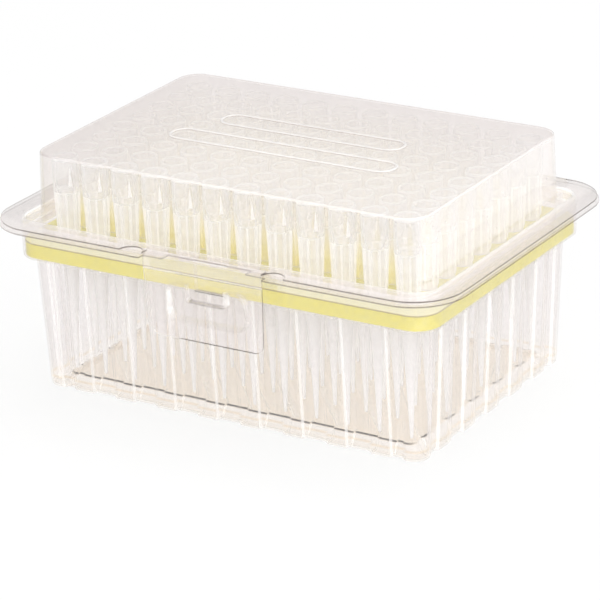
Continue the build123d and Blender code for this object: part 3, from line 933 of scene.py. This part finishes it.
# In each row below, the fold mark is a painted fold line: painted shade where positive, a painted highlight
# where negative.
tray_stations = [  # (half x, half y, corner radius, height, flute depth), bend, fold mark
    ((49.5, 32.0, 1.2, RAISED_FLOOR_Z, 0.5), 0, 0),
    ((50.65, 33.15, 1.8, RAISED_FLOOR_Z, FLOOR_FLUTE), 0.23, 1.0),
    ((51.9, 34.4, 2.8, FOOT_Z, FLOOR_FLUTE), 0.5, 0.0),
    ((55.15, 37.15, 3.4, FOOT_Z, FLUTE_DEPTH), 0.8, -0.5),
    ((56.85, 38.85, 4.4, step_z, FLUTE_DEPTH), 0.7, -0.4),
    ((*UPPER_WALL, step_z, 0), 0.6, -0.3),
    ((*UPPER_WALL, CATCH_LOW, 0), 0, 0),
    ((*UPPER_WALL, CATCH_LOW + CATCH_RISE, 0), 0, 0),
    ((*UPPER_WALL, CATCH_LOW + CATCH_LINE, 0), 0, 0),
    ((*UPPER_WALL, tray_flange_z, 0), 0.7, -0.8),
    ((*tray_flange, 13.5, tray_flange_z, 0), 0, 0),
]
points, faces, marks, _ = shell(tray_plan, tray_stations, tray_front)
# The catch's lower edge gets a line of painted shade:
for index, (x, y, z) in enumerate(points):
    if y < CATCH_Y + SHEET and abs(x) < CATCH_HALF and abs(z - CATCH_LOW - CATCH_RISE) < NARROW / 5:
        marks[index] = 1.0  # the catch's lower edge is a dark line
tray = folded_sheet("tray_shell", points, faces, marks, [CLEAR_SHEET, DARK_EDGE])
thicken(tray, SHEET)
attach(tray, "base")
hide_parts("base_tray")

# %% [markdown]
# ## The lid
# The lid's wall plugs into the tray, turns in along a channel and rises as the dome. Along the front,
# the flange has two round relief cuts, and between them it turns down as a lip that carries the latch.

# %% The lid's front
LIP_RADIUS = 1.95
LIP_START_Y = -44.3
RELIEF_RADIUS = 3.2
RELIEF_X = LATCH_HALF + RELIEF_RADIUS
RELIEF_STEPS, CUT_STEP = 12, 0.01


def lid_front(along, out, _height):
    """Cuts the front flange back to where the lip starts, and draws the two relief cuts."""
    place = abs(along)
    if place <= LATCH_HALF:
        return max(out, LIP_START_Y)
    if place < RELIEF_X + RELIEF_RADIUS:
        rise = math.sqrt(max(RELIEF_RADIUS ** 2 - (place - RELIEF_X) ** 2, 0.0))
        return max(out, rise - lid_flange[1])
    return out


relief_turns = [math.pi * step / RELIEF_STEPS for step in range(1, RELIEF_STEPS)]
relief_places = [RELIEF_X + RELIEF_RADIUS * math.cos(turn) for turn in relief_turns]
relief_places += [RELIEF_X + RELIEF_RADIUS, LATCH_HALF + CUT_STEP, LATCH_HALF]
print("relief cuts at", RELIEF_X, "and", -RELIEF_X)

# %% Lid
CHANNEL_Z = 43.05
PLUG_WALL = (59.35, 40.45, 5.85)  # half sizes and corner radius
LIP_TURNS = [math.radians(15 * step) for step in range(1, 7)]
# Painted shade on the top's far edges, where the near ones keep their painted highlight:
BACK_SHADE = 0.6  # the top's far edges look dark, where the near ones look bright
FAR_X, FAR_Y, EDGE_DROP = -50, 30, 1.0
front_places = relief_places + [0, 6, 12, 30, 40, 49.5]
lid_places = sorted({sign * place for place in front_places for sign in (-1, 1)})
plain_long, plain_short = [-49.5, -26, 0, 26, 49.5], [-31, -16, 0, 16, 31]  # a plain side needs few points
lid_plan = [
    (lid_places, POST_LONG, 0), (plain_short, POST_SHORT, 0),
    (plain_long, POST_LONG, 0), (plain_short, POST_SHORT, 0)]
# In each row below, the fold mark is a painted fold line: painted shade where positive, a painted highlight
# where negative.
lid_stations = [  # (half x, half y, corner radius, height, flute depth), bend, fold mark
    ((53.0, 34.3, 3.2, LID_TOP_Z, 0), 0, 0),
    ((55.75, 37.05, 5.75, LID_TOP_Z, 0), 0.35, -0.22),
    ((56.45, 37.75, 6.45, CHANNEL_Z, 0), 0.6, -0.7),
    ((*PLUG_WALL, CHANNEL_Z, 0), 0.5, -0.5),
    ((*PLUG_WALL, LID_FLANGE_Z, 0), 0.6, -1.0),
    ((*lid_flange, 13.0, LID_FLANGE_Z, 0), 0, 0),
]
points, faces, marks, count = shell(lid_plan, lid_stations, lid_front)
edge_ring = len(points) - count
lip_line = [index for index, along in enumerate(lid_places) if abs(along) <= LATCH_HALF]
lip_rows = [(LIP_START_Y - LIP_RADIUS * math.sin(turn), LID_FLANGE_Z - LIP_RADIUS * (1 - math.cos(turn)))
            for turn in LIP_TURNS]
lip_rows.append((LIP_MID_Y, CREASE_Z + CREASE_GAP))
above = [edge_ring + index for index in lip_line]
for y, z in lip_rows:
    row = [len(points) + index for index in range(len(lip_line))]
    points += [(lid_places[index], y, z) for index in lip_line]
    marks += [0.0] * len(lip_line)
    faces += [(above[i], above[i + 1], row[i + 1], row[i]) for i in range(len(row) - 1)]
    above = row
marks = [-BACK_SHADE * mark if z > LID_TOP_Z - EDGE_DROP and (y > FAR_Y or x < FAR_X) else mark
         for mark, (x, y, z) in zip(marks, points)]
lid = folded_sheet("lid_shell", points, faces, marks, [CLEAR_SHEET, DARK_EDGE])
thicken(lid, SHEET)
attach(lid, "lid")
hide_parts("lid")

# %% [markdown]
# ## Stiffening beads
# Two long raised loops stiffen the lid's top. A bead is a rounded section carried along a closed path,
# which is what Curve to Mesh does, so one small Geometry Nodes tree makes both, with their lengths as
# inputs.

# %% Running a Geometry Nodes tree
def end_tree(tree, outside, geometry, material):
    """Ends a tree: what it placed becomes real geometry, and gets its material."""
    real = add(tree, "GeometryNodeRealizeInstances", {"Geometry": geometry}).outputs[0]
    done = add(tree, "GeometryNodeSetMaterial", {"Geometry": real, "Material": material}).outputs[0]
    tree.links.new(done, outside.inputs[0])
    print("tree", tree.name, len(tree.nodes), "nodes")
    return tree


def run_nodes(name, tree, mesh, values):
    """A piece made by a Geometry Nodes tree, with its inputs set by socket identifier."""
    piece = new_object(name, mesh)
    modifier = piece.modifiers.new("nodes", "NODES")
    modifier.node_group = tree
    for item in tree.interface.items_tree:
        if item.item_type == "SOCKET" and item.in_out == "INPUT" and item.name in values:
            modifier[item.identifier] = values[item.name]
    return settle(piece)


# %% Beads
BEAD_WIDTH, BEAD_HEIGHT, BEAD_DEPTH, BEAD_SPACING = 0.9, 0.3, 8.5, 15.0
BEAD_LENGTHS = (66.0, 54.0)
# A painted highlight along a bead's top, and painted shade at its foot:
BEAD_TOP_HIGHLIGHT, BEAD_FOOT_SHADE = -0.4, 0.35
END_STEPS, SECTION_POINTS = 14, 10


def bead_tree():
    """A rounded oval path with a half-oval section carried along it."""
    tree, inside, outside = new_group(
        "stiffening_bead", "GeometryNodeTree",
        [("Geometry", "NodeSocketGeometry", None), ("Length", "NodeSocketFloat", 0.06),
         ("Depth", "NodeSocketFloat", 0.008), ("Width", "NodeSocketFloat", 0.001),
         ("Height", "NodeSocketFloat", 0.0003), ("Place", "NodeSocketVector", None),
         ("Sheet", "NodeSocketMaterial", None)],
        [("Geometry", "NodeSocketGeometry", None)])
    socket = inside.outputs
    path = add(tree, "GeometryNodeCurvePrimitiveQuadrilateral", {
        "Width": socket["Length"], "Height": socket["Depth"]})
    radius = calc(tree, "MULTIPLY", socket["Depth"], 0.499)  # a hair under half, so that the ends stay round
    rounded = add(tree, "GeometryNodeFilletCurve", {
        "Curve": path.outputs[0], "Radius": radius, "Count": END_STEPS}, mode="POLY")
    half = calc(tree, "MULTIPLY", socket["Width"], 0.5)
    section = add(tree, "GeometryNodeCurvePrimitiveCircle", {"Radius": 1.0, "Resolution": SECTION_POINTS})
    size = add(tree, "ShaderNodeCombineXYZ", {"X": half, "Y": socket["Height"], "Z": 1.0})
    oval = add(tree, "GeometryNodeTransform", {"Geometry": section.outputs[0], "Scale": size.outputs[0]})
    loop = add(tree, "GeometryNodeCurveToMesh", {
        "Curve": rounded.outputs[0], "Profile Curve": oval.outputs[0]})
    moved = add(tree, "GeometryNodeTransform", {
        "Geometry": loop.outputs[0], "Translation": socket["Place"]})
    return end_tree(tree, outside, moved.outputs[0], socket["Sheet"])


BEAD_TREE = bead_tree()
for place, length, side in zip(("front", "back"), BEAD_LENGTHS, (-0.5, 0.5)):
    bead = run_nodes(f"lid_bead_{place}", BEAD_TREE, bpy.data.meshes.new("bead"), {
        "Length": (length - BEAD_WIDTH) * MM, "Depth": (BEAD_DEPTH - BEAD_WIDTH) * MM,
        "Width": BEAD_WIDTH * MM, "Height": BEAD_HEIGHT * MM, "Sheet": CLEAR_SHEET,
        "Place": (0.0, side * BEAD_SPACING * MM, (LID_TOP_Z + SHEET / 2) * MM)})
    rise = [vertex.co.z / MM - LID_TOP_Z - SHEET / 2 for vertex in bead.data.vertices]
    store(bead.data, "fold", [
        BEAD_TOP_HIGHLIGHT if height > BEAD_HEIGHT / 2 else BEAD_FOOT_SHADE for height in rise])
    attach(bead, "lid")

# %% [markdown]
# ## The latch tab
# The tab is a flat flap with round lower corners, and a pocket pressed into it that goes round the
# catch. A fine grid takes the pocket as a height: how far a point lies inside the pocket's outline
# decides how far it is pushed in, and that gives the pocket its soft walls.

# %% The tab's pocket
POCKET_WALL = 0.6
GAP_START, GAP_RADIUS = -2.0, 0.8  # the catch's gap is cut off by the fold, and has round lower corners


def inside_rounded(u, v, half_u, half_v, radius):
    """How far a point lies inside a rounded rectangle. Negative is outside."""
    du, dv = abs(u) - half_u + radius, abs(v) - half_v + radius
    return radius - math.hypot(max(du, 0), max(dv, 0)) - min(max(du, dv), 0)


def pocket_depth(u, v):
    """How far the tab is pressed in at a place on it, measured across and down from the fold."""
    pill, gap = (
        inside_rounded(u, v - (start + end) / 2, half, (end - start) / 2, radius)
        for start, end, half, radius in (
            (POCKET_TOP, POCKET_BOTTOM, POCKET_HALF, POCKET_RADIUS),
            (GAP_START, BAR_TOP, BAR_GAP_HALF, GAP_RADIUS)))
    return POCKET_DEPTH * eased(min(pill, -gap) / POCKET_WALL)


print("pocket's depth below the bar", pocket_depth(0, (BAR_TOP + POCKET_BOTTOM) / 2), "mm")

# %% Latch tab
TAB_CELL = 0.25
NUDGE = 0.12
# Painted shade under the bar, and painted highlights on the pocket's upright walls:
BAR_LINE, BAR_LINE_HALF, BAR_DARK = 0.25, 0.2, 0.55
STEEP_GAIN, STEEP_POWER = 1.7, 4


def painted_wall_line(u, v):
    """The painted fold line on the tab: painted shade under the bar, and a painted highlight on the pocket's
    upright walls.
    """
    across = abs(pocket_depth(u + NUDGE, v) - pocket_depth(u - NUDGE, v))
    along = abs(pocket_depth(u, v + NUDGE) - pocket_depth(u, v - NUDGE))
    steep = min((across + along) / POCKET_DEPTH * STEEP_GAIN, 1.0) ** STEEP_POWER
    if abs(u) < BAR_GAP_HALF and abs(v - BAR_TOP - BAR_LINE) < BAR_LINE_HALF:
        return BAR_DARK * steep
    sideways = across / (across + along + 1e-9)
    return -steep * sideways ** 2


def latch_tab():
    """The tab's mid surface as a fine grid: points, faces and fold marks."""
    rows = int((TAB_HEIGHT - CREASE_GAP) / TAB_CELL)
    columns = int(2 * LATCH_HALF / TAB_CELL)
    points, marks = [], []
    for row in range(rows + 1):
        v = CREASE_GAP + (TAB_HEIGHT - CREASE_GAP) * row / rows
        cut = max(v - TAB_HEIGHT + TAB_RADIUS, 0.0)
        half = LATCH_HALF - TAB_TAPER * v / TAB_HEIGHT - TAB_RADIUS + math.sqrt(TAB_RADIUS ** 2 - cut ** 2)
        for column in range(columns + 1):
            u = half * (2 * column / columns - 1)
            deep = pocket_depth(u, v)
            y = LIP_MID_Y + v * math.sin(TAB_LEAN) + deep * math.cos(TAB_LEAN)
            z = CREASE_Z - v * math.cos(TAB_LEAN) + deep * math.sin(TAB_LEAN)
            points.append((u, y, z))
            marks.append(painted_wall_line(u, v))
    wide = columns + 1
    faces = [(r * wide + c, (r + 1) * wide + c, (r + 1) * wide + c + 1, r * wide + c + 1)
             for r in range(rows) for c in range(columns)]
    return points, faces, marks


points, faces, marks = latch_tab()
tab = folded_sheet("latch_flap", points, faces, marks, [CLEAR_SHEET, GREY_EDGE])
thicken(tab, SHEET)
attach(tab, "latch_tab")
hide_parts("latch_tab")

# %% [markdown]
# ## The hinge and the latch's crease
# The real box is one sheet, so the lid's hinge and the latch's fold are webs of it. Each web is a thin
# clear strip laid along its fold, whose cross section runs from the edge of one part to the other's.

# %% Webs
HINGE_HALF = 52.0
WEB_THICKNESS, WEB_COLUMNS = 0.3, 16
# Painted highlights along the hinge and the latch's crease:
HINGE_HIGHLIGHT, CREASE_HIGHLIGHT = -0.6, -0.2


def strip(name, half, section, mark):
    """A thin clear strip along X whose cross section is a list of (y, z)."""
    points = [(half * (2 * c / WEB_COLUMNS - 1), y, z) for y, z in section for c in range(WEB_COLUMNS + 1)]
    wide = WEB_COLUMNS + 1
    faces = [(r * wide + c, r * wide + c + 1, (r + 1) * wide + c + 1, (r + 1) * wide + c)
             for r in range(len(section) - 1) for c in range(WEB_COLUMNS)]
    piece = folded_sheet(name, points, faces, [mark] * len(points), [CLEAR_SHEET])
    return thicken(piece, WEB_THICKNESS, edge_slot=0)


hinge_section = [  # from the lid's flange round the outside of the fold to the tray's flange
    (46.8, 46.1), (47.25, 46.05), (47.6, 45.88), (47.78, 45.7), (47.82, 45.55),
    (47.78, 45.4), (47.65, 45.2), (47.45, 45.05), (47.2, 45.0)]
hinge_web = strip("hinge_web", HINGE_HALF, hinge_section, HINGE_HIGHLIGHT)
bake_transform(hinge_web)
crease_heights = [CREASE_Z + CREASE_GAP * step / 2 for step in (2, 1, 0, -1, -2)]
crease_section = [(LIP_MID_Y, z) for z in crease_heights]
crease_web = strip("latch_crease", LATCH_HALF, crease_section, CREASE_HIGHLIGHT)
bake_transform(crease_web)

# %% [markdown]
# ## Ninety-six tips
# One tip is a hollow turned shape with eight small fins. A Geometry Nodes tree sets it on every point
# of a grid, each turned about its own axis by chance, so that no two show their fins alike. The grid,
# its pitch and the seed are named inputs.

# %% One tip
TIP_SEGMENTS = 24
TIP_OUTSIDE = [  # radius, height above the point, and how much light the wall scatters
    (0.36, 0.0, 0.97), (0.4, 0.12, 0.97), (0.78, 8.0, 0.95), (1.175, 16.0, 0.9), (1.9, 26.5, 0.7),
    (2.6, 36.4, 0.45), (2.6, 47.9, 0.3), (2.75, 48.15, 0.5), (3.38, 48.65, 0.5), (3.45, 48.9, 0.18),
    (3.45, 50.5, 0.12), (3.45, 57.0, 0.1), (3.45, 57.3, 0.4), (3.45, 57.55, 0.5), (3.36, 57.8, 0.6)]
TIP_INSIDE = [
    (3.04, 57.8, 0.6), (2.95, 57.65, 0.5), (2.95, 57.2, 0.1), (2.95, 51.8, 0.05), (2.1, 48.0, 0.2),
    (2.1, 36.4, 0.15), (0.75, 16.0, 0.5), (0.25, 0.0, 0.8)]
FIN_MILK = 0.55
FIN_COUNT, FIN_HALF, FIN_ROOT, FIN_REACH = 8, 0.27, 2.45, 3.35
FIN_LOW, FIN_HIGH, FIN_SLOPE, FIN_REACH_LOW = 36.6, 48.4, 1.2, 2.95


def one_tip():
    """A tip's points, faces and milkiness, with its point at the origin."""
    profile = TIP_OUTSIDE + TIP_INSIDE
    points, milk = [], []
    for radius, height, level in profile:
        for step in range(TIP_SEGMENTS):
            turn = 2 * math.pi * step / TIP_SEGMENTS
            points.append((radius * math.cos(turn), radius * math.sin(turn), height))
            milk.append(level)
    faces = []
    for row in range(len(profile)):
        near, far = row * TIP_SEGMENTS, (row + 1) % len(profile) * TIP_SEGMENTS
        for step in range(TIP_SEGMENTS):
            following = (step + 1) % TIP_SEGMENTS
            faces.append((near + step, near + following, far + following, far + step))
    corners = [(FIN_ROOT, FIN_LOW), (FIN_REACH_LOW, FIN_LOW + FIN_SLOPE)]
    corners += [(FIN_REACH, FIN_HIGH), (FIN_ROOT, FIN_HIGH)]
    for fin in range(FIN_COUNT):
        turn = 2 * math.pi * fin / FIN_COUNT
        first = len(points)
        for side in (-FIN_HALF, FIN_HALF):
            for radius, height in corners:
                points.append((radius * math.cos(turn) - side * math.sin(turn),
                               radius * math.sin(turn) + side * math.cos(turn), height))
                milk.append(FIN_MILK)
        a, b, c, d, e, f, g, h = range(first, first + 8)
        faces += [(a, b, c, d), (h, g, f, e), (a, e, f, b), (b, f, g, c), (c, g, h, d), (d, h, e, a)]
    return points, faces, milk


points, faces, milk = one_tip()
pattern = new_mesh("one_tip", points, faces)
store(pattern, "milk", milk)
store(pattern, "fin", [1.0 if level == FIN_MILK else 0.0 for level in milk])
print("one tip", len(points), "points,", len(faces), "faces")

# %% The grid of tips
TIP_SEED = 7


def tip_grid_tree():
    """A tip on every point of a grid, each turned by chance about its own axis."""
    tree, inside, outside = new_group(
        "tip_grid", "GeometryNodeTree",
        [("One tip", "NodeSocketGeometry", None), ("Columns", "NodeSocketInt", COLUMNS),
         ("Rows", "NodeSocketInt", ROWS), ("Pitch", "NodeSocketFloat", PITCH * MM),
         ("Height", "NodeSocketFloat", TIP_POINT_Z * MM), ("Seed", "NodeSocketInt", TIP_SEED),
         ("Plastic", "NodeSocketMaterial", None)],
        [("Geometry", "NodeSocketGeometry", None)])
    socket = inside.outputs
    sizes = {}
    for name in ("Columns", "Rows"):
        gaps = calc(tree, "SUBTRACT", socket[name], 1.0)
        sizes[name] = calc(tree, "MULTIPLY", gaps, socket["Pitch"])
    grid = add(tree, "GeometryNodeMeshGrid", {
        "Size X": sizes["Columns"], "Size Y": sizes["Rows"],
        "Vertices X": socket["Columns"], "Vertices Y": socket["Rows"]})
    turn = add(tree, "FunctionNodeRandomValue", data_type="FLOAT_VECTOR")
    limits = {limit.identifier: limit for limit in turn.inputs}
    for name, value in (("Min", (0, 0, 0)), ("Max", (0, 0, 2 * math.pi)), ("Seed", socket["Seed"])):
        fill(tree, limits[name], value)
    set_out = add(tree, "GeometryNodeInstanceOnPoints", {
        "Points": grid.outputs["Mesh"], "Instance": socket["One tip"], "Rotation": turn.outputs[0]})
    rise = add(tree, "ShaderNodeCombineXYZ", {"Z": socket["Height"]}).outputs[0]
    lifted = add(tree, "GeometryNodeTransform", {"Geometry": set_out.outputs[0], "Translation": rise})
    return end_tree(tree, outside, lifted.outputs[0], socket["Plastic"])


tips = run_nodes("pipette_tips", tip_grid_tree(), pattern, {
    "Columns": COLUMNS, "Rows": ROWS, "Pitch": PITCH * MM, "Height": TIP_POINT_Z * MM,
    "Seed": TIP_SEED, "Plastic": MILKY_PLASTIC})
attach(tips, "base")
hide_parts(*[f"tips_column_{number:02d}" for number in range(1, COLUMNS + 1)])

# %% [markdown]
# ## Floor and light
# A pale floor, and a surround that is white to the eye and dimmer on the left in reflections and as a
# light. Two soft boxes and a narrow strip add their mirrored light to the painted bright lines of the
# folds. The larger box in front is hidden from reflections, because the lid's top would mirror it as a
# white patch towards anyone behind the box. A ray crosses dozens of clear walls here, so it may pass
# through many more than usual.

# %% Floor
FLOOR_HALF, FLOOR_DROP = 3000.0, 0.05
FLOOR_PAINT = (0.88, 0.88, 0.88, 1)
FLOOR_GLOWS = 0.76
EYE_RAYS = ("Is Camera Ray", "Is Glossy Ray", "Is Transmission Ray")


def floor_material():
    """Pale paint that takes a shadow, part of it white wherever it is seen or mirrored."""
    material, tree = new_material("pale_floor")
    paint = add(tree, "ShaderNodeBsdfDiffuse", {"Color": FLOOR_PAINT}).outputs[0]
    glow = add(tree, "ShaderNodeEmission", {"Color": WHITE, "Strength": 1.0}).outputs[0]
    share = product(tree, rays(tree, *EYE_RAYS), FLOOR_GLOWS)
    return finished(material, mix_shaders(tree, share, paint, glow))


corners = [(x * FLOOR_HALF, y * FLOOR_HALF, -FLOOR_DROP) for x, y in ((-1, -1), (1, -1), (1, 1), (-1, 1))]
floor_mesh = new_mesh("floor", corners, [(0, 1, 2, 3)])
floor_mesh.materials.append(floor_material())
floor = new_object("floor", floor_mesh)

# %% World
SOFT_LEVEL = 1.06
DIM_SIDE, DIM_FADE = 0.65, (-0.9, 0.2)


def white_world():
    """White to look at, and dimmer on the left in reflections and as a light."""
    world = bpy.data.worlds.new("studio")
    world.use_nodes = True
    tree = world.node_tree
    tree.nodes.clear()
    toward = add(tree, "ShaderNodeSeparateXYZ", {0: add(tree, "ShaderNodeTexCoord").outputs["Generated"]})
    side = fade(tree, toward.outputs["X"], *DIM_FADE, DIM_SIDE, 1.0)
    mirrored = largest(tree, side, rays(tree, "Is Camera Ray"))
    level = fade(tree, rays(tree, *EYE_RAYS), 0.0, 1.0, product(tree, side, SOFT_LEVEL), mirrored)
    light = add(tree, "ShaderNodeBackground", {"Color": WHITE, "Strength": level}).outputs[0]
    add(tree, "ShaderNodeOutputWorld", {"Surface": light})
    return world


scene.world = white_world()
print("world", scene.world.name, len(scene.world.node_tree.nodes), "nodes")

# %% Lamps
AIM = Vector((0, 0, 0.03))


def soft_box(name, place, width, height, power):
    """A rectangular lamp that faces the middle of the box."""
    data = bpy.data.lights.new(name, "AREA")
    data.shape = "RECTANGLE"
    data.size, data.size_y, data.energy = width, height, power
    lamp = bpy.data.objects.new(name, data)
    lamp.location = place
    lamp.rotation_euler = (AIM - lamp.location).to_track_quat("-Z", "Y").to_euler()
    scene.collection.objects.link(lamp)
    print("lamp", name, power, "W")
    return lamp


key_box = soft_box("key_box", Vector((0.3, -0.85, 0.3)), 0.5, 0.5, 3.0)
key_box.visible_glossy = False
soft_box("side_strip", Vector((0.75, -0.05, 0.35)), 0.12, 0.7, 1.0)
soft_box("top_box", Vector((0.05, 0.35, 0.8)), 0.6, 0.3, 1.0)
scene.view_settings.view_transform = "Standard"
scene.cycles.transparent_max_bounces = 96
scene.cycles.max_bounces = 10
